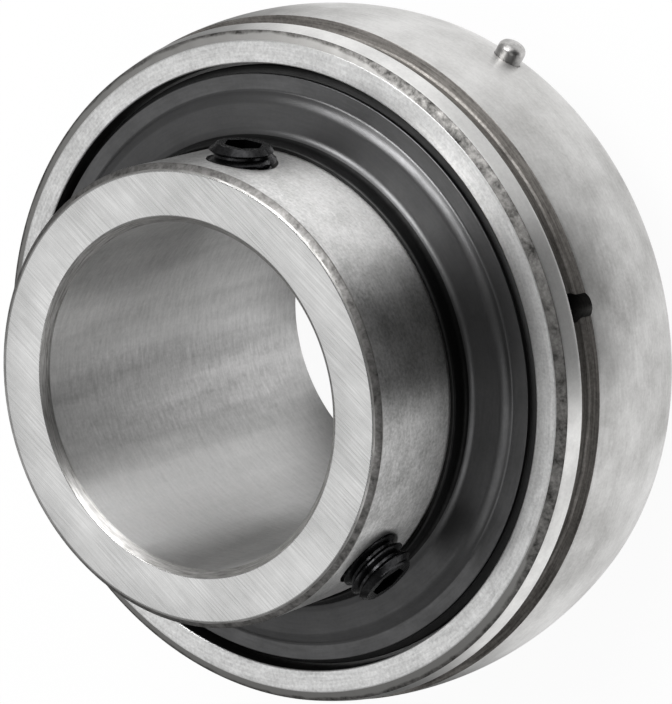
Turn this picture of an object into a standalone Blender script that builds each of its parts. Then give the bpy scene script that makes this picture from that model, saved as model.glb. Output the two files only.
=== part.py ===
"""Insert bearing with a spherical outside, an extended inner ring and two set screws.

It stands on the narrow end of its inner ring. The origin is on the bearing axis at that end,
and +Z runs along the axis towards the set screws. The camera side of the part is -Y.
"""

import math

import bmesh
import bpy
from mathutils import Matrix

# Inner ring. Its wide side ends a named distance beyond the set screws.
BORE_D = 0.030
INNER_WALL = 0.0051
NARROW_STANDOUT = 0.0069
BORE_CHAMFER = 0.00066
END_CHAMFER_WIDTH = 0.00069
END_CHAMFER_DROP = 0.0005

# Outer ring. Its walls around the balls and seals give the spherical outside of 62 mm
# and the width of 18 mm.
FACE_CHAMFER_WIDTH = 0.00092
FACE_CHAMFER_DROP = 0.0004
FACE_WIDTH = 0.001913
SEAT_STEP = 0.00105
SEAL_ROOM = 0.0027

# Lubrication groove and its oil hole, which is drilled a little nearer to the ball plane
GROOVE_FROM_FACE = 0.00205
GROOVE_WIDTH = 0.0021
GROOVE_DEPTH = 0.0007
OIL_HOLE_D = 0.0024
OIL_HOLE_OFFSET = 0.00025
OIL_HOLE_ANGLE = math.radians(-97)

# Locating pin
PIN_D = 0.0025
PIN_PROUD = 0.0017
PIN_DEPTH = 0.0022
PIN_DOME = 0.0007
PIN_FROM_FACE = 0.0033
PIN_ANGLE = math.radians(-52)
PIN_FIT = 0.00005

# Balls
BALL_D = 0.009525
BALL_CLEARANCE = 0.00012
RACE_DEPTH = 0.0018625

# Cage of two pressed halves, held together by rivets
CAGE_SHEET = 0.0008
CAGE_SIDE_CLEARANCE = 0.0009
CAGE_POCKET_CLEARANCE = 0.0004
CAGE_JOINT_GAP = 0.0001
CAGE_END_CLEARANCE = 0.0003375
CAGE_BRIDGE = 0.0039
RIVET_D = 0.0015
RIVET_HEAD_D = 0.0024
RIVET_HEAD_HEIGHT = 0.0006
RIVET_FIT = 0.0001

# Seals snapped into the outer ring
SEAL_GROOVE_STEP = 0.00045
SEAL_SHEET = 0.0005
SEAL_FIT = 0.0001
SEAL_CARRIER_BORE_GAP = 0.0023
LIP_THICKNESS = 0.00065
LIP_RUNNING_GAP = 0.00012
LIP_RIDGE_WIDTH = 0.0006
LIP_RIM_GAP = 0.0003

# Slingers pressed on the inner ring
SLINGER_SHEET = 0.0005
SLINGER_FIT = 0.00005
SLINGER_RECESS = 0.00015
SLINGER_RIM_GAP = 0.0009
SLINGER_STEP_RISE = 0.00055
SLINGER_CROWN_RISE = 0.0009
SLINGER_COLLAR_RISE = 0.00295
SLINGER_FILLET = 0.0009
SLINGER_BAND_SHARE = 0.27
SLINGER_STEP_SHARE = 0.11

# Set screws
SCREW_D = 0.0058
SCREW_LENGTH = 0.006
SCREW_HOLE_FIT = 0.00015
SCREW_FROM_END = 0.0056
SCREW_FROM_COLLAR = 0.0048
SCREW_ANGLES = (math.radians(-30), math.radians(-154))
SCREW_PROUD = (0.0013, 0.0025)
SCREW_CHAMFER = 0.0006
SCREW_TIP_D = 0.0036
SCREW_CUP_D = 0.0024
SCREW_CUP_DEPTH = 0.0006
SOCKET_FLATS = 0.003
SOCKET_DEPTH = 0.0028
HOLE_MOUTH_WIDTH = 0.0002

# Roundness of the turned shapes
RING_SEGMENTS = 60
SMALL_SEGMENTS = 16
BALL_SEGMENTS = 14
BALL_RINGS = 8
RACE_STEPS = 6
SPHERE_STEPS = 6
CAGE_STEPS = 14
FILLET_STEPS = 2
DOME_STEPS = 3
HEAD_STEPS = 2
RIVET_SEGMENTS = 8
SHARP_ANGLE = math.radians(28)
CUT_OVERRUN = 0.001
MERGE = 1e-7

# Radii from the bearing axis that follow from the sizes above
bore_r = BORE_D / 2
inner_r = bore_r + INNER_WALL
ball_r = BALL_D / 2
race_r = ball_r + BALL_CLEARANCE
pitch_r = inner_r + ball_r - RACE_DEPTH
land_r = pitch_r + ball_r - RACE_DEPTH
seat_r = land_r + SEAT_STEP
face_r = seat_r + FACE_WIDTH
screw_hole_r = SCREW_D / 2 + SCREW_HOLE_FIT

# As many balls as fit round the pitch circle with their pockets and a bridge for each rivet
pocket_r = ball_r + CAGE_POCKET_CLEARANCE
ball_count = int(math.tau * pitch_r / (2 * (pocket_r + CAGE_SHEET) + CAGE_BRIDGE))
ball_step = math.tau / ball_count

# Heights from the ball plane that follow from the sizes above
seal_z = pocket_r + CAGE_SHEET + CAGE_END_CLEARANCE
half_width = seal_z + SEAL_ROOM
chamfer_z = half_width - FACE_CHAMFER_DROP
band_z = half_width - SLINGER_RECESS
collar_z = band_z + SLINGER_COLLAR_RISE
screw_z = collar_z + SCREW_FROM_COLLAR
wide_side = screw_z + SCREW_FROM_END
narrow_side = half_width + NARROW_STANDOUT
sphere_r = math.hypot(face_r + FACE_CHAMFER_WIDTH, chamfer_z)


def sphere_radius_at(z):
    """Radius of the spherical outside at height z from the ball plane."""
    return math.sqrt(sphere_r**2 - z**2)


def clear_scene():
    for old in list(bpy.data.objects):
        bpy.data.objects.remove(old, do_unlink=True)


def make_material(name, colour, metallic, roughness):
    material = bpy.data.materials.new(name)
    material.use_nodes = True
    shader = material.node_tree.nodes["Principled BSDF"]
    shader.inputs["Base Color"].default_value = (*colour, 1.0)
    shader.inputs["Metallic"].default_value = metallic
    shader.inputs["Roughness"].default_value = roughness
    return material


def arc(centre, radius, start, end, steps):
    """Points (r, z) along an arc, both ends included, angles measured from the +r direction."""
    points = []
    for step in range(steps + 1):
        angle = start + (end - start) * step / steps
        points.append((centre[0] + radius * math.cos(angle), centre[1] + radius * math.sin(angle)))
    return points


def dome(radius, base, rise, steps):
    """Points (r, z) over a rounded end, from its rim to the axis."""
    points = []
    for step in range(steps + 1):
        angle = math.pi / 2 * step / steps
        points.append((radius * math.cos(angle), base + rise * math.sin(angle)))
    return points


def mirrored(profile):
    """The same profile on the other side of the ball plane."""
    return [(r, -z) for r, z in profile]


def spun_mesh(name, profile, segments, closed):
    """Turn a profile of (r, z) points round +Z. An open profile starts and ends on the axis."""
    shape = bmesh.new()
    points = [shape.verts.new((r, 0.0, z)) for r, z in profile]
    edges = [shape.edges.new(pair) for pair in zip(points, points[1:])]
    if closed:
        edges.append(shape.edges.new((points[-1], points[0])))
    bmesh.ops.spin(
        shape,
        geom=points + edges,
        cent=(0.0, 0.0, 0.0),
        axis=(0.0, 0.0, 1.0),
        angle=math.tau,
        steps=segments,
        use_merge=True,
    )
    bmesh.ops.remove_doubles(shape, verts=shape.verts, dist=MERGE)
    bmesh.ops.recalc_face_normals(shape, faces=shape.faces)
    mesh = bpy.data.meshes.new(name)
    shape.to_mesh(mesh)
    shape.free()
    mesh.shade_smooth()
    mesh.set_sharp_from_angle(angle=SHARP_ANGLE)
    return mesh


def place(name, mesh, material, parent, matrix=Matrix()):
    """Put a mesh in the scene as a named piece, located relative to its parent empty."""
    piece = bpy.data.objects.new(name, mesh)
    bpy.context.collection.objects.link(piece)
    if not mesh.materials:
        mesh.materials.append(material)
    piece.parent = parent
    piece.matrix_local = matrix
    return piece


def place_empty(name, parent, location=(0.0, 0.0, 0.0)):
    empty = bpy.data.objects.new(name, None)
    bpy.context.collection.objects.link(empty)
    empty.parent = parent
    empty.location = location
    return empty


def cut(piece, cutter):
    """Take the cutter's shape out of a piece, and keep the cutter as a wire guide."""
    cutter.hide_render = True
    cutter.display_type = "WIRE"
    boolean = piece.modifiers.new(cutter.name, "BOOLEAN")
    boolean.operation = "DIFFERENCE"
    boolean.solver = "EXACT"
    boolean.object = cutter


def radial_frame(angle, z, radius=0.0):
    """Frame whose +Z points straight out from the bearing axis at this angle and height."""
    place_out = Matrix.Translation((radius, 0.0, z)) @ Matrix.Rotation(math.pi / 2, 4, "Y")
    return Matrix.Rotation(angle, 4, "Z") @ place_out


def race_arc(towards_axis):
    """Ball groove of a ring, from its lower edge to its upper edge."""
    land = inner_r if towards_axis else land_r
    opening = math.acos(abs(pitch_r - land) / race_r)
    middle = math.pi if towards_axis else 0.0
    turn = -opening if towards_axis else opening
    return arc((pitch_r, 0.0), race_r, middle - turn, middle + turn, RACE_STEPS)


def sphere_arc(z_start, z_end, steps):
    start = math.asin(z_start / sphere_r)
    end = math.asin(z_end / sphere_r)
    return arc((0.0, 0.0), sphere_r, start, end, steps)


def seal_seat_profile():
    """Front seat of the outer ring, from its face down to the ball groove's shoulder."""
    groove_r = seat_r + SEAL_GROOVE_STEP
    groove_top = seal_z + SEAL_SHEET + 2 * SEAL_FIT
    return [
        (seat_r, half_width),
        (seat_r, groove_top),
        (groove_r, groove_top),
        (groove_r, seal_z),
        (land_r, seal_z),
    ]


def outer_ring_profile():
    groove_top = half_width - GROOVE_FROM_FACE
    groove_bottom = groove_top - GROOVE_WIDTH
    groove_r = sphere_radius_at(groove_top) - GROOVE_DEPTH
    outside = [(face_r, half_width)]
    outside += sphere_arc(chamfer_z, groove_top, 1)
    outside += [(groove_r, groove_top), (groove_r, groove_bottom)]
    outside += sphere_arc(groove_bottom, -chamfer_z, SPHERE_STEPS)
    outside += [(face_r, -half_width)]
    seat = seal_seat_profile()
    return outside + mirrored(seat) + race_arc(False) + seat[::-1]


def make_outer_ring(frame, steel):
    mesh = spun_mesh("outer_ring", outer_ring_profile(), RING_SEGMENTS, True)
    ring = place("outer_ring", mesh, steel, frame)
    oil_z = half_width - GROOVE_FROM_FACE - GROOVE_WIDTH / 2 - OIL_HOLE_OFFSET
    oil_start = land_r - CUT_OVERRUN
    oil_end = sphere_r + CUT_OVERRUN
    oil_r = OIL_HOLE_D / 2
    oil_profile = [(0.0, oil_start), (oil_r, oil_start), (oil_r, oil_end), (0.0, oil_end)]
    oil_mesh = spun_mesh("oil_hole", oil_profile, SMALL_SEGMENTS, False)
    cut(ring, place("oil_hole", oil_mesh, steel, frame, radial_frame(OIL_HOLE_ANGLE, oil_z)))
    hole_r = PIN_D / 2 + PIN_FIT
    hole_start = pin_seat_radius() - PIN_FIT
    pin_profile = [(0.0, hole_start), (hole_r, hole_start), (hole_r, oil_end), (0.0, oil_end)]
    pin_mesh = spun_mesh("pin_hole", pin_profile, SMALL_SEGMENTS, False)
    cut(ring, place("pin_hole", pin_mesh, steel, frame, radial_frame(PIN_ANGLE, pin_height())))
    return ring


def pin_height():
    return PIN_FROM_FACE - half_width


def pin_seat_radius():
    """Distance from the bearing axis to the bottom end of the locating pin."""
    return sphere_radius_at(pin_height()) - PIN_DEPTH


def make_locating_pin(frame, steel):
    """Headless pin with a domed end, pressed into the spherical outside."""
    pin_r = PIN_D / 2
    rim = PIN_DEPTH + PIN_PROUD - PIN_DOME
    profile = [(0.0, 0.0), (pin_r, 0.0)] + dome(pin_r, rim, PIN_DOME, DOME_STEPS)
    mesh = spun_mesh("locating_pin", profile, SMALL_SEGMENTS, False)
    where = radial_frame(PIN_ANGLE, pin_height(), pin_seat_radius())
    return place("locating_pin", mesh, steel, frame, where)


def inner_ring_profile():
    end_r = inner_r - END_CHAMFER_WIDTH
    top = [
        (bore_r, wide_side - BORE_CHAMFER),
        (bore_r + BORE_CHAMFER, wide_side),
        (end_r, wide_side),
        (inner_r, wide_side - END_CHAMFER_DROP),
    ]
    bottom = [
        (inner_r, -narrow_side + END_CHAMFER_DROP),
        (end_r, -narrow_side),
        (bore_r + BORE_CHAMFER, -narrow_side),
        (bore_r, -narrow_side + BORE_CHAMFER),
    ]
    return top + race_arc(True)[::-1] + bottom


def make_inner_ring(frame, steel):
    """Extended inner ring with two radial set screw holes near its wide end."""
    mesh = spun_mesh("inner_ring", inner_ring_profile(), RING_SEGMENTS, True)
    ring = place("inner_ring", mesh, steel, frame)
    mouth_r = screw_hole_r + HOLE_MOUTH_WIDTH
    hole = [
        (0.0, bore_r - CUT_OVERRUN),
        (screw_hole_r, bore_r - CUT_OVERRUN),
        (screw_hole_r, inner_r - HOLE_MOUTH_WIDTH),
        (mouth_r, inner_r),
        (mouth_r, inner_r + CUT_OVERRUN),
        (0.0, inner_r + CUT_OVERRUN),
    ]
    for number, angle in enumerate(SCREW_ANGLES, 1):
        name = f"screw_hole_{number}"
        hole_mesh = spun_mesh(name, hole, SMALL_SEGMENTS, False)
        cut(ring, place(name, hole_mesh, steel, frame, radial_frame(angle, screw_z)))
    return ring


def make_set_screw(number, angle, proud, frame, steel):
    """Cup point set screw with a hexagon socket. Its thread is left plain."""
    radius = SCREW_D / 2
    profile = [
        (0.0, SCREW_CUP_DEPTH),
        (SCREW_CUP_D / 2, 0.0),
        (SCREW_TIP_D / 2, 0.0),
        (radius, radius - SCREW_TIP_D / 2),
        (radius, SCREW_LENGTH - SCREW_CHAMFER),
        (radius - SCREW_CHAMFER, SCREW_LENGTH),
        (0.0, SCREW_LENGTH),
    ]
    name = f"set_screw_{number}"
    tip = inner_r + proud - SCREW_LENGTH
    where = radial_frame(angle, screw_z, tip)
    screw = place(name, spun_mesh(name, profile, SMALL_SEGMENTS, False), steel, frame, where)
    socket_r = SOCKET_FLATS / math.sqrt(3)
    floor = SCREW_LENGTH - SOCKET_DEPTH
    socket = [
        (0.0, floor),
        (socket_r, floor),
        (socket_r, SCREW_LENGTH + CUT_OVERRUN),
        (0.0, SCREW_LENGTH + CUT_OVERRUN),
    ]
    socket_mesh = spun_mesh(f"hex_socket_{number}", socket, 6, False)
    cut(screw, place(f"hex_socket_{number}", socket_mesh, steel, frame, where))
    return screw


def slinger_profile():
    """Pressed sheet: collar on the inner ring, rounded foot, crown, step and flat rim band."""
    collar_in = inner_r + SLINGER_FIT
    collar_out = collar_in + SLINGER_SHEET
    rim_r = seat_r - SLINGER_RIM_GAP
    flange = rim_r - collar_out
    fillet = min(SLINGER_FILLET, flange / 4)
    crease_r = rim_r - flange * SLINGER_BAND_SHARE
    ridge_r = crease_r - flange * SLINGER_STEP_SHARE
    ridge_z = band_z + SLINGER_STEP_RISE
    crown_z = band_z + SLINGER_CROWN_RISE
    foot = (collar_out + fillet, crown_z + fillet)
    top = [(collar_out, collar_z)]
    top += arc(foot, fillet, math.pi, 1.5 * math.pi, FILLET_STEPS)
    top += [(ridge_r, ridge_z), (crease_r, band_z), (rim_r, band_z)]
    under = [
        (rim_r, band_z - SLINGER_SHEET),
        (crease_r, band_z - SLINGER_SHEET),
        (ridge_r, ridge_z - SLINGER_SHEET),
    ]
    under += arc(foot, fillet + SLINGER_SHEET, 1.5 * math.pi, math.pi, FILLET_STEPS)
    under += [(collar_in, collar_z)]
    return top + under


def seal_carrier_profile():
    """Flat steel washer whose rim sits in the seal groove of the outer ring."""
    low = seal_z + SEAL_FIT
    high = low + SEAL_SHEET
    rim_r = seat_r + SEAL_GROOVE_STEP - SEAL_FIT
    bore = inner_r + SEAL_CARRIER_BORE_GAP
    return [(bore, low), (rim_r, low), (rim_r, high), (bore, high)]


def seal_lip_profile():
    """Rubber ring on the outer side of the carrier. Its crown runs just under the slinger."""
    low = seal_z + SEAL_SHEET + 2 * SEAL_FIT
    high = low + LIP_THICKNESS
    edge = inner_r + LIP_RUNNING_GAP
    rim_r = seat_r - LIP_RIM_GAP
    ridge_top = band_z - SLINGER_SHEET - LIP_RUNNING_GAP
    ridge_r = (edge + rim_r) / 2
    return [
        (edge, high),
        (edge, low),
        (rim_r, low),
        (rim_r, high),
        (ridge_r + LIP_RIDGE_WIDTH, ridge_top),
        (ridge_r - LIP_RIDGE_WIDTH, ridge_top),
    ]


def make_both_sides(name, profile, material, frame):
    """One turned piece on the set screw side and its twin on the narrow side."""
    front = spun_mesh(f"front_{name}", profile, RING_SEGMENTS, True)
    rear = spun_mesh(f"rear_{name}", mirrored(profile), RING_SEGMENTS, True)
    place(f"front_{name}", front, material, frame)
    place(f"rear_{name}", rear, material, frame)


def make_balls(cage_frame, steel):
    """Balls on the pitch circle, the first one on +X."""
    shape = bmesh.new()
    bmesh.ops.create_uvsphere(shape, u_segments=BALL_SEGMENTS, v_segments=BALL_RINGS, radius=ball_r)
    mesh = bpy.data.meshes.new("ball")
    shape.to_mesh(mesh)
    shape.free()
    mesh.shade_smooth()
    for number in range(ball_count):
        turn = Matrix.Rotation(ball_step * number, 4, "Z")
        where = turn @ Matrix.Translation((pitch_r, 0.0, 0.0))
        place(f"ball_{number + 1}", mesh, steel, cage_frame, where)


def cage_height(radius, angle, dome_r, flat):
    """Height of one face of the cage sheet: a dome over each ball, and flat between them."""
    across = (angle + ball_step / 2) % ball_step - ball_step / 2
    apart = radius**2 + pitch_r**2 - 2 * radius * pitch_r * math.cos(across)
    return max(flat, math.sqrt(max(dome_r**2 - apart, 0.0)))


def rivet_place(number):
    """Rivets stand midway between the balls."""
    turn = Matrix.Rotation(ball_step * (number + 0.5), 4, "Z")
    return turn @ Matrix.Translation((pitch_r, 0.0, 0.0))


def cage_ribbon(name, side):
    """Closed ribbon of sheet that arches over every ball, with its edges square."""
    inside = inner_r + CAGE_SIDE_CLEARANCE
    outside = land_r - CAGE_SIDE_CLEARANCE
    rows = (inside, pitch_r, outside)
    joint = CAGE_JOINT_GAP / 2
    faces = ((pocket_r, joint, rows), (pocket_r + CAGE_SHEET, joint + CAGE_SHEET, rows[::-1]))
    shape = bmesh.new()
    steps = ball_count * CAGE_STEPS
    loops = []
    for step in range(steps):
        angle = math.tau * (step + 0.5) / steps
        loop = []
        for dome_r, flat, radii in faces:
            for radius in radii:
                z = side * cage_height(radius, angle, dome_r, flat)
                loop.append(shape.verts.new((radius * math.cos(angle), radius * math.sin(angle), z)))
        loops.append(loop)
    for here, ahead in zip(loops, loops[1:] + loops[:1]):
        for corner in range(len(here)):
            after = (corner + 1) % len(here)
            shape.faces.new((here[corner], here[after], ahead[after], ahead[corner]))
    bmesh.ops.recalc_face_normals(shape, faces=shape.faces)
    mesh = bpy.data.meshes.new(name)
    shape.to_mesh(mesh)
    shape.free()
    mesh.shade_smooth()
    mesh.set_sharp_from_angle(angle=SHARP_ANGLE)
    return mesh


def rivet_holes(name):
    """One mesh with a plain hole for every rivet."""
    hole_r = RIVET_D / 2 + RIVET_FIT
    reach = pocket_r + CUT_OVERRUN
    profile = [(0.0, -reach), (hole_r, -reach), (hole_r, reach), (0.0, reach)]
    hole_mesh = spun_mesh("rivet_hole", profile, RIVET_SEGMENTS, False)
    holes = bmesh.new()
    for number in range(ball_count):
        before = len(holes.verts)
        holes.from_mesh(hole_mesh)
        holes.verts.ensure_lookup_table()
        bmesh.ops.transform(holes, matrix=rivet_place(number), verts=holes.verts[before:])
    mesh = bpy.data.meshes.new(name)
    holes.to_mesh(mesh)
    holes.free()
    return mesh


def make_cage_half(name, side, frame, steel):
    """Pressed half of the cage, with its rivet holes."""
    half = place(name, cage_ribbon(name, side), steel, frame)
    cut(half, place(f"{name}_holes", rivet_holes(f"{name}_holes"), steel, frame))
    return half


def make_rivets(cage_frame, steel):
    shank_r = RIVET_D / 2
    seat = CAGE_JOINT_GAP / 2 + CAGE_SHEET + RIVET_FIT / 2
    half = [(shank_r, seat)] + dome(RIVET_HEAD_D / 2, seat, RIVET_HEAD_HEIGHT, HEAD_STEPS)
    mesh = spun_mesh("rivet", mirrored(half)[::-1] + half, RIVET_SEGMENTS, False)
    for number in range(ball_count):
        place(f"rivet_{number + 1}", mesh, steel, cage_frame, rivet_place(number))


clear_scene()

ring_steel = make_material("ring_steel", (0.62, 0.61, 0.60), 1.0, 0.32)
ball_steel = make_material("ball_steel", (0.70, 0.70, 0.70), 1.0, 0.08)
pin_steel = make_material("pin_steel", (0.60, 0.60, 0.60), 1.0, 0.22)
cage_steel = make_material("cage_steel", (0.45, 0.44, 0.42), 1.0, 0.40)
seal_steel = make_material("seal_steel", (0.35, 0.35, 0.35), 1.0, 0.45)
black_plate = make_material("black_plate", (0.050, 0.050, 0.052), 0.6, 0.38)
black_screw = make_material("black_screw", (0.020, 0.020, 0.022), 0.7, 0.35)
rubber = make_material("rubber", (0.015, 0.015, 0.015), 0.0, 0.70)

ball_plane = place_empty("ball_plane", None, (0.0, 0.0, narrow_side))
inner_axis = place_empty("inner_axis", ball_plane)
cage_axis = place_empty("cage_axis", ball_plane)

make_outer_ring(ball_plane, ring_steel)
make_locating_pin(ball_plane, pin_steel)
make_both_sides("seal_carrier", seal_carrier_profile(), seal_steel, ball_plane)
make_both_sides("seal_lip", seal_lip_profile(), rubber, ball_plane)

make_inner_ring(inner_axis, ring_steel)
make_both_sides("slinger", slinger_profile(), black_plate, inner_axis)
for screw_number, (screw_angle, screw_proud) in enumerate(zip(SCREW_ANGLES, SCREW_PROUD), 1):
    make_set_screw(screw_number, screw_angle, screw_proud, inner_axis, black_screw)

make_balls(cage_axis, ball_steel)
make_cage_half("cage_front", 1, cage_axis, cage_steel)
make_cage_half("cage_rear", -1, cage_axis, cage_steel)
make_rivets(cage_axis, cage_steel)
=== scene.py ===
import math

import bmesh
import bpy
from mathutils import Matrix, Vector


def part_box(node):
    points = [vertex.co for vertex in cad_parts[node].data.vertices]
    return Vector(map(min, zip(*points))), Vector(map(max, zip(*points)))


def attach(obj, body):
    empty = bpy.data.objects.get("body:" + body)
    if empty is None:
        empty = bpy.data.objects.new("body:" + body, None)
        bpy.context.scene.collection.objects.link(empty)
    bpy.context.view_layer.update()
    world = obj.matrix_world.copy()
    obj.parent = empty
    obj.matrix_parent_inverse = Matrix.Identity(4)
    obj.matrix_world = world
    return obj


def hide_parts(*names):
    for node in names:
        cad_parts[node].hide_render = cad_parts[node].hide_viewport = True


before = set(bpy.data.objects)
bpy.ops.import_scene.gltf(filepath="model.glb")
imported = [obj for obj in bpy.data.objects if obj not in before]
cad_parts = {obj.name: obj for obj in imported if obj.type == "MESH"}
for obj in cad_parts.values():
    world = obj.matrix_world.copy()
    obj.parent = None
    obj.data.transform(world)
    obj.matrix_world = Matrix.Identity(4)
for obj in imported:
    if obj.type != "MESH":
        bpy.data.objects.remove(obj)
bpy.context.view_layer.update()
mm = 0.001

# Camera. The photograph looks down on the set screw end through a long lens, from the -Y side,
# with the frame turned so that +X points up the picture.
camera_aim = Vector((-0.0925, -0.1638, 15.7745)) * mm
camera_distance = 363.357 * mm
camera_azimuth = math.radians(-92.518)
camera_elevation = math.radians(53.187)
camera_roll = math.radians(-107.271)
camera_lens = 208.6
sensor_width = 36.0

to_camera = Vector((
    math.cos(camera_elevation) * math.cos(camera_azimuth),
    math.cos(camera_elevation) * math.sin(camera_azimuth),
    math.sin(camera_elevation),
))
level_right = Vector((-math.sin(camera_azimuth), math.cos(camera_azimuth), 0.0))
level_up = to_camera.cross(level_right)
picture_right = math.cos(camera_roll) * level_right + math.sin(camera_roll) * level_up
picture_up = to_camera.cross(picture_right)
camera_data = bpy.data.cameras.new("camera")
camera_data.lens = camera_lens
camera_data.sensor_width = sensor_width
camera = bpy.data.objects.new("camera", camera_data)
camera.matrix_world = Matrix((picture_right, picture_up, to_camera)).transposed().to_4x4()
camera.location = camera_aim + camera_distance * to_camera
bpy.context.collection.objects.link(camera)
bpy.context.scene.camera = camera
bpy.context.scene.view_settings.view_transform = "Standard"


# Studio. White paper lies a hair under the bearing. To the camera it glows white, and to the steel's
# mirror rays it glows with painted light and painted shade in patches by heading round the bearing;
# only a small diffuse share of it takes the real shadow. These patches, the dark side of the room
# behind the camera and the pale ceiling are what the steel mirrors. Four soft lamps stand over the
# bearing on the set screw side.
def add_node(tree, kind, settings=(), **sockets):
    """Add a shader node, set its named settings, and fill or link its input sockets."""
    node = tree.nodes.new(kind)
    for name, value in dict(settings).items():
        setattr(node, name, value)
    for name, value in sockets.items():
        key = int(name[1:]) if name[0] == "n" and name[1:].isdigit() else name.replace("_", " ")
        if isinstance(value, bpy.types.NodeSocket):
            tree.links.new(value, node.inputs[key])
        else:
            node.inputs[key].default_value = value
    return node


def combine(tree, operation, first, second):
    return add_node(tree, "ShaderNodeMath", {"operation": operation}, n0=first, n1=second).outputs[0]


def heading_from(azimuth, elevation=0.0):
    """Unit vector of a heading given in degrees round +Z and above the floor."""
    level = math.cos(math.radians(elevation))
    turned = math.radians(azimuth)
    return Vector((level * math.cos(turned), level * math.sin(turned), math.sin(math.radians(elevation))))


def blend_towards(tree, heading, axis, start, end, low, high):
    """Value that passes from low to high as the angle to an axis falls from start to end degrees."""
    along = add_node(tree, "ShaderNodeVectorMath", {"operation": "DOT_PRODUCT"}, n0=heading, n1=axis)
    return add_node(tree, "ShaderNodeMapRange", {"interpolation_type": "SMOOTHSTEP"},
                    Value=along.outputs["Value"], From_Min=math.cos(math.radians(start)),
                    From_Max=math.cos(math.radians(end)), To_Min=low, To_Max=high).outputs[0]


floor_size = 3.0
floor_shadow = 0.06
lit_paper = 53.0 * mm
floor_below = 0.02 * mm
floor_shape = bmesh.new()
bmesh.ops.create_grid(floor_shape, x_segments=2, y_segments=2, size=floor_size / 2)
bmesh.ops.translate(floor_shape, verts=floor_shape.verts, vec=(0.0, 0.0, -floor_below))
floor_mesh = bpy.data.meshes.new("floor")
floor_shape.to_mesh(floor_mesh)
floor_shape.free()
floor = bpy.data.objects.new("floor", floor_mesh)
bpy.context.collection.objects.link(floor)
floor_paper = bpy.data.materials.new("floor_paper")
floor_paper.use_nodes = True
tree = floor_paper.node_tree
tree.nodes.clear()
place = add_node(tree, "ShaderNodeTexCoord").outputs["Object"]
bearing = add_node(tree, "ShaderNodeVectorMath", {"operation": "NORMALIZE"}, n0=place).outputs[0]
reach = add_node(tree, "ShaderNodeVectorMath", {"operation": "LENGTH"}, n0=place).outputs["Value"]
beyond = add_node(tree, "ShaderNodeMapRange", {"interpolation_type": "SMOOTHSTEP"}, Value=reach,
                  From_Min=0.94 * lit_paper, From_Max=1.06 * lit_paper).outputs[0]
paper_light = 1.0
# Painted light and shade on the paper's glow: each patch dims it round one heading, to one level inside
# lit_paper and to another beyond it.
for azimuth, start, end, near_light, far_light in (
    (-98.0, 27.0, 12.0, 1.0, 0.08),
    (-68.0, 36.0, 12.0, 1.0, 0.45),
    (40.0, 45.0, 20.0, 0.3, 0.1),
    (134.0, 48.0, 20.0, 0.05, 0.05),
):
    shaded = add_node(tree, "ShaderNodeMapRange", Value=beyond, To_Min=near_light, To_Max=far_light)
    inside = blend_towards(tree, bearing, heading_from(azimuth), start, end, 0.0, 1.0)
    patch = add_node(tree, "ShaderNodeMix", {"data_type": "FLOAT"}, Factor=inside, n2=1.0,
                     n3=shaded.outputs[0]).outputs[0]
    paper_light = combine(tree, "MULTIPLY", paper_light, patch)
path = add_node(tree, "ShaderNodeLightPath").outputs
through = combine(tree, "MAXIMUM", path["Is Camera Ray"], path["Is Transmission Ray"])
seen = combine(tree, "MAXIMUM", through, path["Is Glossy Ray"])
brightness = add_node(tree, "ShaderNodeMix", {"data_type": "FLOAT"}, Factor=through, n2=paper_light,
                      n3=1.0).outputs[0]
paper = add_node(tree, "ShaderNodeBsdfDiffuse", Color=(0.9, 0.9, 0.9, 1.0))
glow = add_node(tree, "ShaderNodeEmission", Color=(1.0, 1.0, 1.0, 1.0), Strength=brightness)
blend = add_node(tree, "ShaderNodeMixShader", n0=combine(tree, "MULTIPLY", seen, 1.0 - floor_shadow),
                 n1=paper.outputs[0], n2=glow.outputs[0])
add_node(tree, "ShaderNodeOutputMaterial", Surface=blend.outputs[0])
floor_mesh.materials.append(floor_paper)

room_world = bpy.data.worlds.new("room")
room_world.use_nodes = True
bpy.context.scene.world = room_world
tree = room_world.node_tree
tree.nodes.clear()
room_light = 0.42
room_mirrored = 1.0
heading = add_node(tree, "ShaderNodeTexCoord").outputs["Generated"]
behind_camera = blend_towards(tree, heading, to_camera, 82.0, 52.0, 1.0, 0.04)
ceiling = blend_towards(tree, heading, heading_from(0.0, 90.0), 42.0, 35.0, 0.36, room_mirrored)
mirrored = combine(tree, "MULTIPLY", behind_camera, ceiling)
path = add_node(tree, "ShaderNodeLightPath").outputs
lit = add_node(tree, "ShaderNodeMix", {"data_type": "FLOAT"}, Factor=path["Is Glossy Ray"],
               n2=room_light, n3=mirrored)
seen = add_node(tree, "ShaderNodeMix", {"data_type": "FLOAT"}, Factor=path["Is Camera Ray"],
                n2=lit.outputs[0], n3=1.0)
sky = add_node(tree, "ShaderNodeBackground", Color=(1.0, 1.0, 1.0, 1.0), Strength=seen.outputs[0])
add_node(tree, "ShaderNodeOutputWorld", Surface=sky.outputs[0])


def soft_lamp(name, right, up, near, size, power):
    """Square soft lamp at metres right, up and towards the camera, aimed at the bearing."""
    lamp_data = bpy.data.lights.new(name, "AREA")
    lamp_data.shape = "RECTANGLE"
    lamp_data.size, lamp_data.size_y = size
    lamp_data.energy = power
    lamp = bpy.data.objects.new(name, lamp_data)
    lamp.location = camera_aim + right * picture_right + up * picture_up + near * to_camera
    lamp.rotation_euler = (camera_aim - lamp.location).to_track_quat("-Z", "Y").to_euler()
    bpy.context.collection.objects.link(lamp)


soft_lamp("key_lamp", -0.38, 0.35, 0.61, (0.6, 0.3), 4.4)
soft_lamp("top_lamp", 0.05, 0.66, 0.45, (0.7, 0.6), 2.3)
soft_lamp("side_lamp", -0.72, -0.22, 0.26, (0.4, 0.5), 0.34)
soft_lamp("front_lamp", -0.08, -0.48, 0.64, (0.5, 0.5), 0.85)
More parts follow.
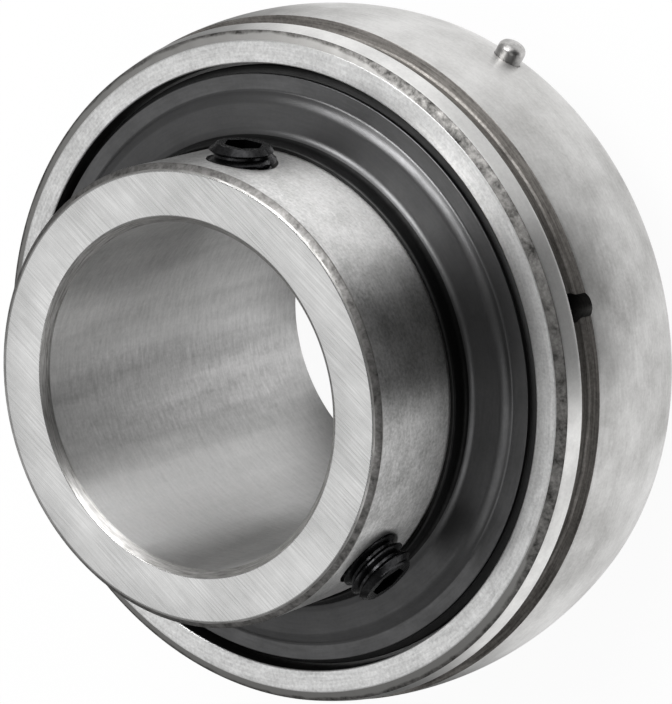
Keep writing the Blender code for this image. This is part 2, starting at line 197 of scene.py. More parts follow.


# Outer ring. One forged and turned ring of bearing steel with a spherical ground outside. Its
# faces are ground, the chamfer beside them is left as hardened, with painted shade laid on it
# towards the -Y side, and a lubrication groove with one drilled hole runs round the set screw side.
def draw_line(shape, pen, radius, height):
    """Straight stroke of an outline, from the pen to a point (radius, height)."""
    point = shape.verts.new((radius, 0.0, height))
    if pen is not None:
        shape.edges.new((pen, point))
    return point


def draw_arc(shape, pen, centre, sweep, steps):
    """Round stroke of an outline about a centre (radius, height), clockwise as seen from -Y."""
    stroke = bmesh.ops.spin(shape, geom=[pen], cent=(centre[0], 0.0, centre[1]),
                            axis=(0.0, 1.0, 0.0), angle=sweep, steps=steps)
    return stroke["geom_last"][0]


def round_corner(shape, corner, size, segments=3):
    bmesh.ops.bevel(shape, geom=[corner], offset=size, segments=segments, profile=0.5,
                    affect="VERTICES", material=-1)


def turn_on_axis(shape, steps):
    """Spin a closed outline once round the bearing axis."""
    bmesh.ops.spin(shape, geom=shape.verts[:] + shape.edges[:], cent=(0.0, 0.0, 0.0),
                   axis=(0.0, 0.0, 1.0), angle=math.tau, steps=steps, use_merge=True)
    bmesh.ops.remove_doubles(shape, verts=shape.verts, dist=0.0001 * mm)
    bmesh.ops.recalc_face_normals(shape, faces=shape.faces)


def finish_piece(name, shape, body, replaced, sharp=30.0):
    """Put the shape in the scene, as a piece that stands for CAD nodes and rides on a body, or a cutter."""
    mesh = bpy.data.meshes.new(name)
    shape.to_mesh(mesh)
    shape.free()
    mesh.shade_smooth()
    mesh.set_sharp_from_angle(angle=math.radians(sharp))
    piece = bpy.data.objects.new(name, mesh)
    bpy.context.collection.objects.link(piece)
    if replaced:
        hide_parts(*replaced)
        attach(piece, body)
    return piece


def cut_away(piece, cutter, operation="DIFFERENCE", sharp=30.0):
    """Cut a piece with another shape, for good, and throw the cutter away."""
    boolean = piece.modifiers.new("cut", "BOOLEAN")
    boolean.operation = operation
    boolean.solver = "EXACT"
    boolean.object = cutter
    graph = bpy.context.evaluated_depsgraph_get()
    cut_mesh = bpy.data.meshes.new_from_object(piece.evaluated_get(graph))
    piece.modifiers.clear()
    piece.data = cut_mesh
    bpy.data.objects.remove(cutter, do_unlink=True)
    cut_mesh.shade_smooth()
    cut_mesh.set_sharp_from_angle(angle=math.radians(sharp))


def radial_place(angle, height, radius=0.0):
    """Frame whose +Z points straight out from the bearing axis."""
    outwards = Matrix.Translation((radius, 0.0, height)) @ Matrix.Rotation(math.pi / 2, 4, "Y")
    return Matrix.Rotation(angle, 4, "Z") @ outwards


def add_colours(tree, factor, dark, pale):
    return add_node(tree, "ShaderNodeMix", {"data_type": "RGBA"}, Factor=factor,
                    n6=(*dark, 1.0), n7=(*pale, 1.0)).outputs[2]


def axis_pattern(tree, around, across):
    """Coordinates that run slowly round the bearing axis and fast along and away from it."""
    place = add_node(tree, "ShaderNodeTexCoord").outputs["Object"]
    flat = add_node(tree, "ShaderNodeVectorMath", {"operation": "MULTIPLY"},
                    n0=place, n1=(1.0, 1.0, 0.0)).outputs[0]
    radius = add_node(tree, "ShaderNodeVectorMath", {"operation": "LENGTH"}, n0=flat).outputs["Value"]
    outward = add_node(tree, "ShaderNodeVectorMath", {"operation": "NORMALIZE"}, n0=flat).outputs[0]
    height = add_node(tree, "ShaderNodeSeparateXYZ", n0=place).outputs["Z"]
    along = add_node(tree, "ShaderNodeMath", {"operation": "MULTIPLY_ADD"},
                     n0=height, n1=0.7, n2=radius).outputs[0]
    fine = add_node(tree, "ShaderNodeMath", {"operation": "MULTIPLY"}, n0=along, n1=across).outputs[0]
    slow = add_node(tree, "ShaderNodeVectorMath", {"operation": "SCALE"}, n0=outward, Scale=around)
    stack = add_node(tree, "ShaderNodeCombineXYZ", Z=fine).outputs[0]
    return add_node(tree, "ShaderNodeVectorMath", {"operation": "ADD"},
                    n0=slow.outputs[0], n1=stack).outputs[0]


def turned_steel(name, dark, pale, roughness, lines=5000.0, around=9.0, clouds=140.0, grain=3500.0,
                 shares=(0.4, 0.3), relief=0.003, lay=0.45, drawn=1.0):
    """Steel with fine lines that run round the axis, soft clouds of tone, and a fine grain.

    The shares are those of the clouds against the lines, and of the grain against both. The
    clouds are drawn out along the axis where drawn is under 1.
    """
    material = bpy.data.materials.new(name)
    material.use_nodes = True
    tree = material.node_tree
    shader = tree.nodes["Principled BSDF"]
    streaks = add_node(tree, "ShaderNodeTexNoise", Vector=axis_pattern(tree, around, lines),
                       Scale=1.0, Detail=3.0, Roughness=0.6).outputs[0]
    place = add_node(tree, "ShaderNodeTexCoord").outputs["Object"]
    long_place = add_node(tree, "ShaderNodeMapping", Vector=place, Scale=(1.0, 1.0, drawn))
    cloud = add_node(tree, "ShaderNodeTexNoise", Vector=long_place.outputs[0], Scale=clouds,
                     Detail=4.0, Roughness=0.6).outputs[0]
    speckle = add_node(tree, "ShaderNodeTexNoise", Vector=place, Scale=grain, Detail=2.0,
                       Roughness=0.6).outputs[0]
    smooth = add_node(tree, "ShaderNodeMix", {"data_type": "FLOAT"}, Factor=shares[0], n2=streaks,
                      n3=cloud).outputs[0]
    mixed = add_node(tree, "ShaderNodeMix", {"data_type": "FLOAT"}, Factor=shares[1], n2=smooth,
                     n3=speckle).outputs[0]
    spread = add_node(tree, "ShaderNodeMapRange", Value=mixed, From_Min=0.35, From_Max=0.65).outputs[0]
    tree.links.new(add_colours(tree, spread, dark, pale), shader.inputs["Base Color"])
    rough = add_node(tree, "ShaderNodeMapRange", Value=spread, To_Min=roughness * 1.15,
                     To_Max=roughness * 0.85).outputs[0]
    tree.links.new(rough, shader.inputs["Roughness"])
    shader.inputs["Metallic"].default_value = 1.0
    shader.inputs["Anisotropic"].default_value = lay
    shader.inputs["Anisotropic Rotation"].default_value = 0.25
    tangent = add_node(tree, "ShaderNodeTangent", {"direction_type": "RADIAL", "axis": "Z"})
    tree.links.new(tangent.outputs[0], shader.inputs["Tangent"])
    bump = add_node(tree, "ShaderNodeBump", Strength=0.5, Distance=relief * mm, Height=mixed)
    tree.links.new(bump.outputs[0], shader.inputs["Normal"])
    return material


ring_low, ring_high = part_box("outer_ring")
ball_plane = (ring_low.z + ring_high.z) / 2
half_width = (ring_high.z - ring_low.z) / 2
sphere_radius = 31.0 * mm
face_radius = 28.863 * mm
seat_radius = 26.95 * mm
land_radius = 25.9 * mm
pitch_radius = 23.0 * mm
race_radius = 4.8825 * mm
chamfer_height = half_width - 0.4 * mm
seat_height = half_width - 2.7 * mm
seal_groove_step = 0.45 * mm
seal_groove_height = seat_height + 0.7 * mm
groove_high = half_width - 2.05 * mm
groove_low = groove_high - 2.1 * mm
groove_depth = 0.7 * mm
pin_angle = math.radians(-52.0)
pin_side = half_width - 3.3 * mm
pin_height = ball_plane - pin_side
pin_radius = 1.25 * mm
pin_depth = 2.2 * mm
pin_fit = 0.05 * mm
oil_angle = math.radians(-97.25)
oil_radius = 1.26 * mm
oil_height = ball_plane + (groove_high + groove_low) / 2 - 0.28 * mm
oil_bottom = land_radius - 1.0 * mm
ring_steps = 288


def sphere_at(height):
    return math.sqrt(sphere_radius**2 - height**2)


def draw_sphere(shape, pen, top, bottom, steps):
    sweep = math.asin(top / sphere_radius) - math.asin(bottom / sphere_radius)
    return draw_arc(shape, pen, (0.0, 0.0), sweep, steps)


shape = bmesh.new()
first = draw_line(shape, None, seat_radius, half_width)
face_edge = draw_line(shape, first, face_radius, half_width)
shoulder = draw_line(shape, face_edge, sphere_at(chamfer_height), chamfer_height)
upper_lip = draw_sphere(shape, shoulder, chamfer_height, groove_high, 6)
groove_radius = sphere_at(groove_high) - groove_depth
groove_top = draw_line(shape, upper_lip, groove_radius, groove_high)
groove_foot = draw_line(shape, groove_top, groove_radius, groove_low)
lower_lip = draw_line(shape, groove_foot, sphere_at(groove_low), groove_low)
rear_shoulder = draw_sphere(shape, lower_lip, groove_low, -chamfer_height, 34)
rear_edge = draw_line(shape, rear_shoulder, face_radius, -half_width)
rear_first = draw_line(shape, rear_edge, seat_radius, -half_width)
corners = [(first, 0.14), (face_edge, 0.07), (shoulder, 0.07), (upper_lip, 0.05),
           (groove_top, 0.2), (groove_foot, 0.3), (lower_lip, 0.05), (rear_shoulder, 0.07),
           (rear_edge, 0.07), (rear_first, 0.14)]
pen = draw_line(shape, rear_first, seat_radius, -seal_groove_height)
pen = draw_line(shape, pen, seat_radius + seal_groove_step, -seal_groove_height)
pen = draw_line(shape, pen, seat_radius + seal_groove_step, -seat_height)
pen = draw_line(shape, pen, land_radius, -seat_height)
race_opening = math.acos((land_radius - pitch_radius) / race_radius)
race_edge = race_radius * math.sin(race_opening)
pen = draw_line(shape, pen, land_radius, -race_edge)
pen = draw_arc(shape, pen, (pitch_radius, 0.0), -2 * race_opening, 20)
pen = draw_line(shape, pen, land_radius, seat_height)
pen = draw_line(shape, pen, seat_radius + seal_groove_step, seat_height)
pen = draw_line(shape, pen, seat_radius + seal_groove_step, seal_groove_height)
pen = draw_line(shape, pen, seat_radius, seal_groove_height)
shape.edges.new((pen, first))
for corner, size in corners:
    round_corner(shape, corner, size * mm)
bmesh.ops.translate(shape, verts=shape.verts, vec=(0.0, 0.0, ball_plane))
turn_on_axis(shape, ring_steps)
outer_ring = finish_piece("outer_ring_ground", shape, "outer_body", ["outer_ring"])

for angle, height, radius, bottom in (
    (oil_angle, oil_height, oil_radius, oil_bottom),
    (pin_angle, pin_height, pin_radius + pin_fit, sphere_at(pin_side) - pin_depth - pin_fit),
):
    drill = bmesh.new()
    length = sphere_radius + 2.0 * mm - bottom
    bmesh.ops.create_cone(drill, cap_ends=True, segments=48, radius1=radius, radius2=radius, depth=length)
    bmesh.ops.transform(drill, matrix=radial_place(angle, height, bottom + length / 2), verts=drill.verts)
    cut_away(outer_ring, finish_piece("drill", drill, None, None))

ground_sphere = turned_steel("ground_sphere", (0.46, 0.455, 0.445), (0.75, 0.745, 0.735), 0.34,
                             clouds=150.0, shares=(0.8, 0.2), relief=0.002, lay=0.85)
ground_face = turned_steel("ground_face", (0.60, 0.60, 0.595), (0.90, 0.90, 0.895), 0.36,
                           clouds=500.0, shares=(0.45, 0.4), lay=0.5)
hardened_band_and_painted_shade = turned_steel("hardened_band_and_painted_shade", (0.04, 0.0385, 0.0365), (0.29, 0.283, 0.273), 0.50,
                             around=25.0, lines=2500.0, clouds=900.0, grain=3000.0,
                             shares=(0.85, 0.35), relief=0.002, lay=0.0)
tree = hardened_band_and_painted_shade.node_tree
scale_colour = tree.nodes["Principled BSDF"].inputs["Base Color"].links[0].from_socket
place = add_node(tree, "ShaderNodeTexCoord").outputs["Object"]
level_place = add_node(tree, "ShaderNodeVectorMath", {"operation": "MULTIPLY"}, n0=place,
                       n1=(1.0, 1.0, 0.0)).outputs[0]
reach = add_node(tree, "ShaderNodeVectorMath", {"operation": "LENGTH"}, n0=level_place).outputs["Value"]
outward = add_node(tree, "ShaderNodeVectorMath", {"operation": "NORMALIZE"}, n0=level_place).outputs[0]
# Painted shade: within about 24 degrees of heading -92 (the -Y side) the band is mostly dark scale. Beyond
# 62 degrees it fades to mostly pale ground steel, keeping only a ragged strip of scale at its outer edge.
painted_light_share = blend_towards(tree, outward, heading_from(-92.0), 62.0, 24.0, 0.7, -0.1)
across_band = add_node(tree, "ShaderNodeMapRange", Value=reach, From_Min=face_radius,
                       From_Max=sphere_at(chamfer_height)).outputs[0]
ragged = add_node(tree, "ShaderNodeTexNoise", Vector=place, Scale=500.0, Detail=3.0).outputs[0]
ragged_band = add_node(tree, "ShaderNodeMath", {"operation": "MULTIPLY_ADD"}, n0=ragged, n1=0.6,
                       n2=across_band).outputs[0]
scale_and_painted_shade_share = combine(tree, "SUBTRACT", ragged_band, painted_light_share)
dark_scale_and_painted_shade = add_node(tree, "ShaderNodeMapRange", Value=scale_and_painted_shade_share, From_Min=0.2, From_Max=0.4).outputs[0]
band_colour = add_node(tree, "ShaderNodeMix", {"data_type": "RGBA"}, Factor=dark_scale_and_painted_shade,
                       n6=(0.36, 0.355, 0.345, 1.0), n7=scale_colour).outputs[2]
tree.links.new(band_colour, tree.nodes["Principled BSDF"].inputs["Base Color"])
turned_groove = turned_steel("turned_groove", (0.10, 0.094, 0.087), (0.35, 0.333, 0.315), 0.52,
                             lines=7000.0, shares=(0.35, 0.25))
race_finish = turned_steel("race_finish", (0.58, 0.58, 0.58), (0.66, 0.66, 0.66), 0.14)
# Painted shade: a near-black copy of the turned steel, laid on the recesses that fall in shade.
painted_shade_recess = turned_steel("painted_shade_recess", (0.035, 0.034, 0.033), (0.085, 0.083, 0.080), 0.45)
# Painted light: a lighter copy of the ground sphere steel for the land between the groove and the set screw
# side face.
land_painted_lighter = turned_steel("land_painted_lighter", (0.66, 0.655, 0.645), (0.88, 0.875, 0.86), 0.34,
                           clouds=250.0, shares=(0.8, 0.2), relief=0.002, lay=0.7)
ring_finishes = (ground_sphere, ground_face, hardened_band_and_painted_shade, turned_groove, race_finish, painted_shade_recess,
                 land_painted_lighter)
for material in ring_finishes:
    outer_ring.data.materials.append(material)
oil_heading = heading_from(math.degrees(oil_angle))
oil_level = Vector((0.0, 0.0, oil_height))
for facet in outer_ring.data.polygons:
    groove_side = facet.center.z - ball_plane
    height = abs(groove_side)
    radius = Vector(facet.center).xy.length
    from_hole = facet.center - oil_heading * facet.center.dot(oil_heading) - oil_level
    by_the_hole = radius > land_radius and from_hole.length < oil_radius + 0.02 * mm
    finish = ground_sphere
    # Painted shade: the oil hole's wall and the seat and seal groove walls take the near-black recess
    # colour.
    if by_the_hole and facet.normal.dot(from_hole.normalized()) < -0.9:
        finish = painted_shade_recess
    elif radius < seat_radius + seal_groove_step + 0.1 * mm and height < half_width - 0.2 * mm:
        finish = painted_shade_recess if radius > land_radius + 0.1 * mm else race_finish
    elif height > half_width - 0.03 * mm or radius < face_radius - 0.05 * mm:
        finish = ground_face
    elif height > chamfer_height - 0.03 * mm:
        finish = hardened_band_and_painted_shade
    elif groove_low - 0.05 * mm < groove_side < groove_high - 0.02 * mm:
        finish = turned_groove
    # Painted light: the land over the groove takes the lighter copy of the sphere steel.
    elif groove_side > groove_high:
        finish = land_painted_lighter
    facet.material_index = ring_finishes.index(finish)

# Locating pin. A short pin of hardened steel with a domed end, pressed into a blind hole of the
# spherical outside on the narrow side, so that the outer ring can't turn in the housing.
pin_low = sphere_at(pin_side) - pin_depth
pin_length = 3.9 * mm
pin_dome = 0.25 * mm
shape = bmesh.new()
foot = draw_line(shape, None, 0.0, 0.0)
side = draw_line(shape, draw_line(shape, foot, pin_radius, 0.0), pin_radius, pin_length - pin_dome)
top = draw_line(shape, side, 0.0, pin_length)
round_corner(shape, side, 0.5 * mm, 8)
turn_on_axis(shape, 48)
bmesh.ops.transform(shape, matrix=radial_place(pin_angle, pin_height, pin_low), verts=shape.verts)
pin = finish_piece("locating_pin_domed", shape, "outer_body", ["locating_pin"])
pin_finish = turned_steel("pin_finish", (0.34, 0.335, 0.33), (0.62, 0.61, 0.60), 0.34,
                          clouds=1500.0, shares=(0.9, 0.3), lay=0.0)
pin.data.materials.append(pin_finish)

# Seals. A sheet steel washer is snapped into the groove on each side, and carries a rubber ring
# whose crown runs just under the slinger.
inner_radius = 20.1 * mm
seal_fit = 0.1 * mm
seal_sheet = 0.5 * mm
lip_side = 0.65 * mm
lip_clearance = 0.12 * mm
slinger_sheet = 0.5 * mm
band_height = half_width - 0.15 * mm
for side, sign in (("front", 1.0), ("rear", -1.0)):
    shape = bmesh.new()
    low = seat_height + seal_fit
    rim = seat_radius + seal_groove_step - seal_fit
    bore = inner_radius + 2.3 * mm
    first = draw_line(shape, None, bore, low)
    corners = [first]
    for radius, height in ((rim, low), (rim, low + seal_sheet), (bore, low + seal_sheet)):
        corners.append(draw_line(shape, corners[-1], radius, height))
    shape.edges.new((corners[-1], first))
    for corner in corners:
        round_corner(shape, corner, 0.06 * mm)
    bmesh.ops.scale(shape, verts=shape.verts, vec=(1.0, 1.0, sign))
    bmesh.ops.translate(shape, verts=shape.verts, vec=(0.0, 0.0, ball_plane))
    turn_on_axis(shape, 192)
    carrier = finish_piece(f"{side}_carrier_washer", shape, "outer_body",
                           [f"{side}_seal_carrier"])
    shape = bmesh.new()
    low = seat_height + seal_sheet + 2 * seal_fit
    edge = inner_radius + lip_clearance
    rim = seat_radius - 0.3 * mm
    crown = band_height - slinger_sheet - lip_clearance
    middle = (edge + rim) / 2
    first = draw_line(shape, None, edge, low + lip_side)
    corners = [first]
    for radius, height in ((edge, low), (rim, low), (rim, low + lip_side),
                           (middle + 0.6 * mm, crown), (middle - 0.6 * mm, crown)):
        corners.append(draw_line(shape, corners[-1], radius, height))
    shape.edges.new((corners[-1], first))
    for corner in corners:
        round_corner(shape, corner, 0.15 * mm)
    bmesh.ops.scale(shape, verts=shape.verts, vec=(1.0, 1.0, sign))
    bmesh.ops.translate(shape, verts=shape.verts, vec=(0.0, 0.0, ball_plane))
    turn_on_axis(shape, 192)
    lip = finish_piece(f"{side}_rubber_lip", shape, "outer_body", [f"{side}_seal_lip"])
    if side == "front":
        carrier_finish = turned_steel("carrier_finish", (0.24, 0.24, 0.24), (0.34, 0.34, 0.34), 0.4)
        rubber = turned_steel("rubber", (0.012, 0.012, 0.012), (0.022, 0.022, 0.022), 0.6,
                              clouds=600.0, lay=0.0)
        rubber.node_tree.nodes["Principled BSDF"].inputs["Metallic"].default_value = 0.0
    carrier.data.materials.append(carrier_finish)
    lip.data.materials.append(rubber)

# Inner ring. One long ring of bearing steel whose set screw side stands well out of the outer
# ring. Its end is ground in straight passes, the bore and the outside are ground round, and two
# holes for the set screws are drilled through its wide side, their thread left plain.
inner_low, inner_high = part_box("inner_ring")
wide_end = inner_high.z - ball_plane
narrow_end = inner_low.z - ball_plane
bore_radius = 15.0 * mm
bore_chamfer = 0.66 * mm
end_chamfer = (0.69 * mm, 0.5 * mm)
chamfer_break = (0.50 * mm, 0.09 * mm)
screw_angles = (math.radians(-30.0), math.radians(-154.0))
screw_height = 16.6 * mm
screw_hole_radius = 3.05 * mm
screw_mouth = 0.2 * mm
drill_room = 1.0 * mm
shape = bmesh.new()
first = draw_line(shape, None, bore_radius, wide_end - bore_chamfer)
corners = [(first, 0.08)]
pen = first
for radius, height, size in (
    (bore_radius + bore_chamfer, wide_end, 0.06),
    (inner_radius - end_chamfer[0], wide_end, 0.06),
    (inner_radius - chamfer_break[0], wide_end - chamfer_break[1], 0.04),
    (inner_radius, wide_end - end_chamfer[1], 0.08),
):
    pen = draw_line(shape, pen, radius, height)
    corners.append((pen, size))
pen = draw_line(shape, pen, inner_radius, race_edge)
pen = draw_arc(shape, pen, (pitch_radius, 0.0), -2 * math.asin(race_edge / race_radius), 20)
for radius, height, size in (
    (inner_radius, narrow_end + end_chamfer[1], 0.08),
    (inner_radius - chamfer_break[0], narrow_end + chamfer_break[1], 0.04),
    (inner_radius - end_chamfer[0], narrow_end, 0.06),
    (bore_radius + bore_chamfer, narrow_end, 0.06),
    (bore_radius, narrow_end + bore_chamfer, 0.08),
):
    pen = draw_line(shape, pen, radius, height)
    corners.append((pen, size))
shape.edges.new((pen, first))
for corner, size in corners:
    round_corner(shape, corner, size * mm)
bmesh.ops.translate(shape, verts=shape.verts, vec=(0.0, 0.0, ball_plane))
turn_on_axis(shape, ring_steps)
inner_ring = finish_piece("inner_ring_ground", shape, "inner_body", ["inner_ring"])
for angle in screw_angles:
    drill = bmesh.new()
    pen = draw_line(drill, None, 0.0, bore_radius - drill_room)
    for radius, height in (
        (screw_hole_radius, bore_radius - drill_room),
        (screw_hole_radius, inner_radius - screw_mouth),
        (screw_hole_radius + screw_mouth + 0.4 * mm, inner_radius + 0.4 * mm),
        (screw_hole_radius + screw_mouth + 0.4 * mm, inner_radius + drill_room),
        (0.0, inner_radius + drill_room),
    ):
        pen = draw_line(drill, pen, radius, height)
    turn_on_axis(drill, 64)
    bmesh.ops.transform(drill, matrix=radial_place(angle, ball_plane + screw_height), verts=drill.verts)
    cut_away(inner_ring, finish_piece("drill", drill, None, None))


def end_ground_steel(name, dark, pale, roughness, grind_angle, along=160, across=6500):
    """Steel ground in straight passes across a flat end."""
    material = bpy.data.materials.new(name)
    material.use_nodes = True
    tree = material.node_tree
    shader = tree.nodes["Principled BSDF"]
    place = add_node(tree, "ShaderNodeTexCoord").outputs["Object"]
    passes = add_node(tree, "ShaderNodeMapping", {"vector_type": "TEXTURE"}, Vector=place,
                      Rotation=(0.0, 0.0, grind_angle), Scale=(1 / along, 1 / across, 1 / along)).outputs[0]
    lines = add_node(tree, "ShaderNodeTexNoise", Vector=passes, Scale=1.0, Detail=3.0,
                     Roughness=0.65).outputs[0]
    cloud = add_node(tree, "ShaderNodeTexNoise", Vector=place, Scale=160.0, Detail=5.0,
                     Roughness=0.6).outputs[0]
    mixed = add_node(tree, "ShaderNodeMix", {"data_type": "FLOAT"}, Factor=0.5, n2=lines,
                     n3=cloud).outputs[0]
    spread = add_node(tree, "ShaderNodeMapRange", Value=mixed, From_Min=0.35, From_Max=0.65).outputs[0]
    tree.links.new(add_colours(tree, spread, dark, pale), shader.inputs["Base Color"])
    rough = add_node(tree, "ShaderNodeMapRange", Value=spread, To_Min=roughness * 1.15,
                     To_Max=roughness * 0.85).outputs[0]
    tree.links.new(rough, shader.inputs["Roughness"])
    shader.inputs["Metallic"].default_value = 1.0
    bump = add_node(tree, "ShaderNodeBump", Strength=0.5, Distance=0.002 * mm, Height=lines)
    tree.links.new(bump.outputs[0], shader.inputs["Normal"])
    return material


grind_angle = math.radians(29.0)
ground_outside = turned_steel("ground_outside", (0.36, 0.36, 0.355), (0.78, 0.775, 0.77), 0.36,
                              clouds=420.0, shares=(0.7, 0.4), relief=0.003, lay=1.0)
ground_end = end_ground_steel("ground_end", (0.52, 0.52, 0.515), (0.72, 0.72, 0.715), 0.26, grind_angle)
ground_bore = turned_steel("ground_bore", (0.54, 0.54, 0.535), (0.80, 0.795, 0.79), 0.34,
                           lines=3500.0, clouds=350.0, shares=(0.6, 0.2), relief=0.001, lay=1.0,
                           drawn=0.12)
mottled_chamfer = turned_steel("mottled_chamfer", (0.07, 0.068, 0.065), (0.40, 0.39, 0.38), 0.42,
                               lines=2500.0, around=25.0, clouds=1200.0, grain=3000.0,
                               shares=(0.7, 0.3), relief=0.004, lay=0.0)
bore_mouth = turned_steel("bore_mouth", (0.24, 0.235, 0.225), (0.60, 0.59, 0.58), 0.40, lines=9000.0,
                          shares=(0.15, 0.1))
inner_finishes = (ground_outside, ground_end, ground_bore, mottled_chamfer, bore_mouth)
for material in inner_finishes:
    inner_ring.data.materials.append(material)
for facet in inner_ring.data.polygons:
    height = abs(facet.center.z - ball_plane)
    radius = Vector(facet.center).xy.length
    end = wide_end if facet.center.z > ball_plane else -narrow_end
    finish = ground_outside
    if height > end - 0.02 * mm:
        finish = ground_end
    elif radius < bore_radius + 0.02 * mm:
        finish = ground_bore
    elif height > end - end_chamfer[1] - 0.02 * mm and radius > inner_radius - chamfer_break[0]:
        finish = mottled_chamfer
    elif height > end - bore_chamfer - 0.02 * mm:
        finish = bore_mouth
    facet.material_index = inner_finishes.index(finish)

# Slingers. Steel sheet with a black coat, pressed to shape and pushed onto the inner ring, one on
# each side: a flat rim band, a crease, a rounded ridge, a crown, and a foot turned up as a collar.
rim_radius = seat_radius - 0.9 * mm
collar_inside = inner_radius + 0.05 * mm
collar_outside = collar_inside + slinger_sheet
flange = rim_radius - collar_outside
crease_radius = rim_radius - 0.27 * flange
ridge_radius = crease_radius - 0.11 * flange
ridge_height = band_height + 0.55 * mm
crown_height = band_height + 0.9 * mm
collar_height = band_height + 2.95 * mm
black_plate = turned_steel("black_plate", (0.098, 0.098, 0.099), (0.130, 0.130, 0.132), 0.33,
                           clouds=300.0, shares=(0.6, 0.2), relief=0.001, lay=0.2)
# Painted shade: a near-black copy of the black coat for the collar and the foot of its fillet next to the
# inner ring.
collar_painted_shade = turned_steel("collar_painted_shade", (0.018, 0.018, 0.018), (0.036, 0.036, 0.036), 0.34,
                            clouds=600.0, relief=0.002, lay=0.0)
for side, sign in (("front", 1.0), ("rear", -1.0)):
    shape = bmesh.new()
    top = [(collar_outside, collar_height, 0.24), (collar_outside, crown_height, 0.9),
           (ridge_radius, ridge_height, 0.52), (crease_radius, band_height, 0.15),
           (rim_radius, band_height, 0.1)]
    under = [(radius, height - slinger_sheet, size) for radius, height, size in reversed(top[2:])]
    under += [(collar_inside, crown_height - slinger_sheet, 1.2), (collar_inside, collar_height, 0.2)]
    corners = []
    pen = None
    for radius, height, size in top + under:
        pen = draw_line(shape, pen, radius, height)
        corners.append((pen, size))
    shape.edges.new((pen, corners[0][0]))
    for corner, size in corners:
        round_corner(shape, corner, size * mm, 6)
    bmesh.ops.scale(shape, verts=shape.verts, vec=(1.0, 1.0, sign))
    bmesh.ops.translate(shape, verts=shape.verts, vec=(0.0, 0.0, ball_plane))
    turn_on_axis(shape, ring_steps)
    slinger = finish_piece(f"{side}_pressed_slinger", shape, "inner_body",
                           [f"{side}_slinger"])
    slinger_finishes = (black_plate, collar_painted_shade)
    for material in slinger_finishes:
        slinger.data.materials.append(material)
    # Facets within 0.35 mm outside the collar get the painted shade.
    for facet in slinger.data.polygons:
        by_the_collar = Vector(facet.center).xy.length < collar_outside + 0.35 * mm
        facet.material_index = slinger_finishes.index(collar_painted_shade if by_the_collar else black_plate)

# Set screws. Two blackened steel screws with hexagon sockets and cup points sit in the holes of
# the inner ring, 124 degrees apart. They stand proud of it and show their coarse thread.
thread_radius = 2.9 * mm
thread_root = 2.42 * mm
thread_pitch = 1.0 * mm
screw_length = 6.0 * mm
screw_chamfer = 0.6 * mm
tip_radius = 1.8 * mm
cup_radius = 1.2 * mm
cup_depth = 0.6 * mm
socket_flats = 3.0 * mm
socket_corner = socket_flats / math.sqrt(3)
socket_depth = 2.8 * mm
screw_proud = (1.3 * mm, 2.5 * mm)
thread_steps = 72
thread_turns = 10
thread_over = 0.5 * mm
thread_form = ((thread_radius, 0.125), (thread_root, 0.46), (thread_root, 0.665), (thread_radius, 1.0))
black_oxide = turned_steel("black_oxide", (0.018, 0.018, 0.019), (0.050, 0.050, 0.052), 0.26,
                           clouds=2500.0, shares=(0.8, 0.5), relief=0.01, lay=0.0)
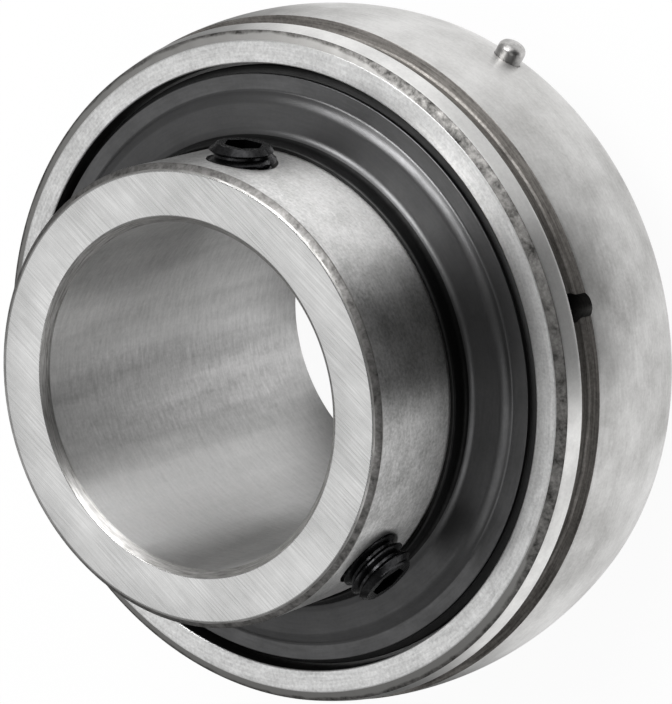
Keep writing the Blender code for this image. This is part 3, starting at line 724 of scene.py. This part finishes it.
for number, (angle, proud) in enumerate(zip(screw_angles, screw_proud), 1):
    blank = bmesh.new()
    pen = draw_line(blank, None, 0.0, cup_depth)
    for radius, height in (
        (cup_radius, 0.0),
        (tip_radius, 0.0),
        (thread_radius, thread_radius - tip_radius),
        (thread_radius, screw_length - screw_chamfer),
        (thread_radius - screw_chamfer, screw_length),
        (0.0, screw_length),
    ):
        pen = draw_line(blank, pen, radius, height)
    turn_on_axis(blank, thread_steps)
    thread = bmesh.new()
    pen = draw_line(thread, None, thread_radius, -2 * thread_pitch)
    for radius, share in thread_form:
        pen = draw_line(thread, pen, radius, (share - 2.0) * thread_pitch)
    bmesh.ops.spin(thread, geom=thread.verts[:] + thread.edges[:], cent=(0.0, 0.0, 0.0),
                   axis=(0.0, 0.0, 1.0), dvec=(0.0, 0.0, thread_pitch / thread_steps),
                   angle=thread_turns * math.tau, steps=thread_turns * thread_steps)
    bmesh.ops.remove_doubles(thread, verts=thread.verts, dist=0.001 * mm)
    for cap_height, outwards in ((-thread_over, -1.0), (screw_length + thread_over, 1.0)):
        bmesh.ops.bisect_plane(thread, geom=thread.verts[:] + thread.edges[:] + thread.faces[:],
                               dist=1e-7, plane_co=(0.0, 0.0, cap_height),
                               plane_no=(0.0, 0.0, outwards), clear_outer=True)
    bmesh.ops.holes_fill(thread, edges=thread.edges)
    bmesh.ops.recalc_face_normals(thread, faces=thread.faces)
    screw = finish_piece(f"set_screw_{number}_threaded", blank, f"set_screw_{number}_body",
                         [f"set_screw_{number}"])
    cut_away(screw, finish_piece("thread", thread, None, None), "INTERSECT", 25.0)
    socket = bmesh.new()
    bmesh.ops.create_cone(socket, cap_ends=True, segments=6, radius1=socket_corner,
                          radius2=socket_corner, depth=2 * socket_depth)
    bmesh.ops.translate(socket, verts=socket.verts, vec=(0.0, 0.0, screw_length))
    cut_away(screw, finish_piece("socket", socket, None, None), "DIFFERENCE", 25.0)
    screw_place = radial_place(angle, ball_plane + screw_height, inner_radius + proud - screw_length)
    screw.data.transform(screw_place)
    screw.data.materials.clear()
    screw.data.materials.append(black_oxide)

# Balls. Nine balls of through-hardened bearing steel, lapped bright, which run in the grooves of
# the two rings and turn in the pockets of the cage.
ball_radius = 4.7625 * mm
ball_count = len([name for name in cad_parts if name.startswith("ball_")])
ball_finish = turned_steel("ball_finish", (0.60, 0.60, 0.60), (0.66, 0.66, 0.66), 0.08, relief=0.001,
                           lay=0.0)
for number in range(ball_count):
    shape = bmesh.new()
    bmesh.ops.create_icosphere(shape, subdivisions=4, radius=ball_radius)
    turn = Matrix.Rotation(math.tau * number / ball_count, 4, "Z")
    where = turn @ Matrix.Translation((pitch_radius, 0.0, ball_plane))
    bmesh.ops.transform(shape, matrix=where, verts=shape.verts)
    ball = finish_piece(f"ball_{number + 1}_polished", shape, f"ball_{number + 1}_body",
                        [f"ball_{number + 1}"])
    ball.data.materials.append(ball_finish)

# Cage and rivets. Two halves pressed of plain sheet steel arch over the balls from either side,
# and a rivet between each two balls holds the halves together.
cage_finish = turned_steel("cage_finish", (0.36, 0.355, 0.34), (0.48, 0.47, 0.455), 0.34, clouds=400.0)
for name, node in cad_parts.items():
    if name.startswith(("cage_", "rivet_")):
        node.data.materials.clear()
        node.data.materials.append(cage_finish)
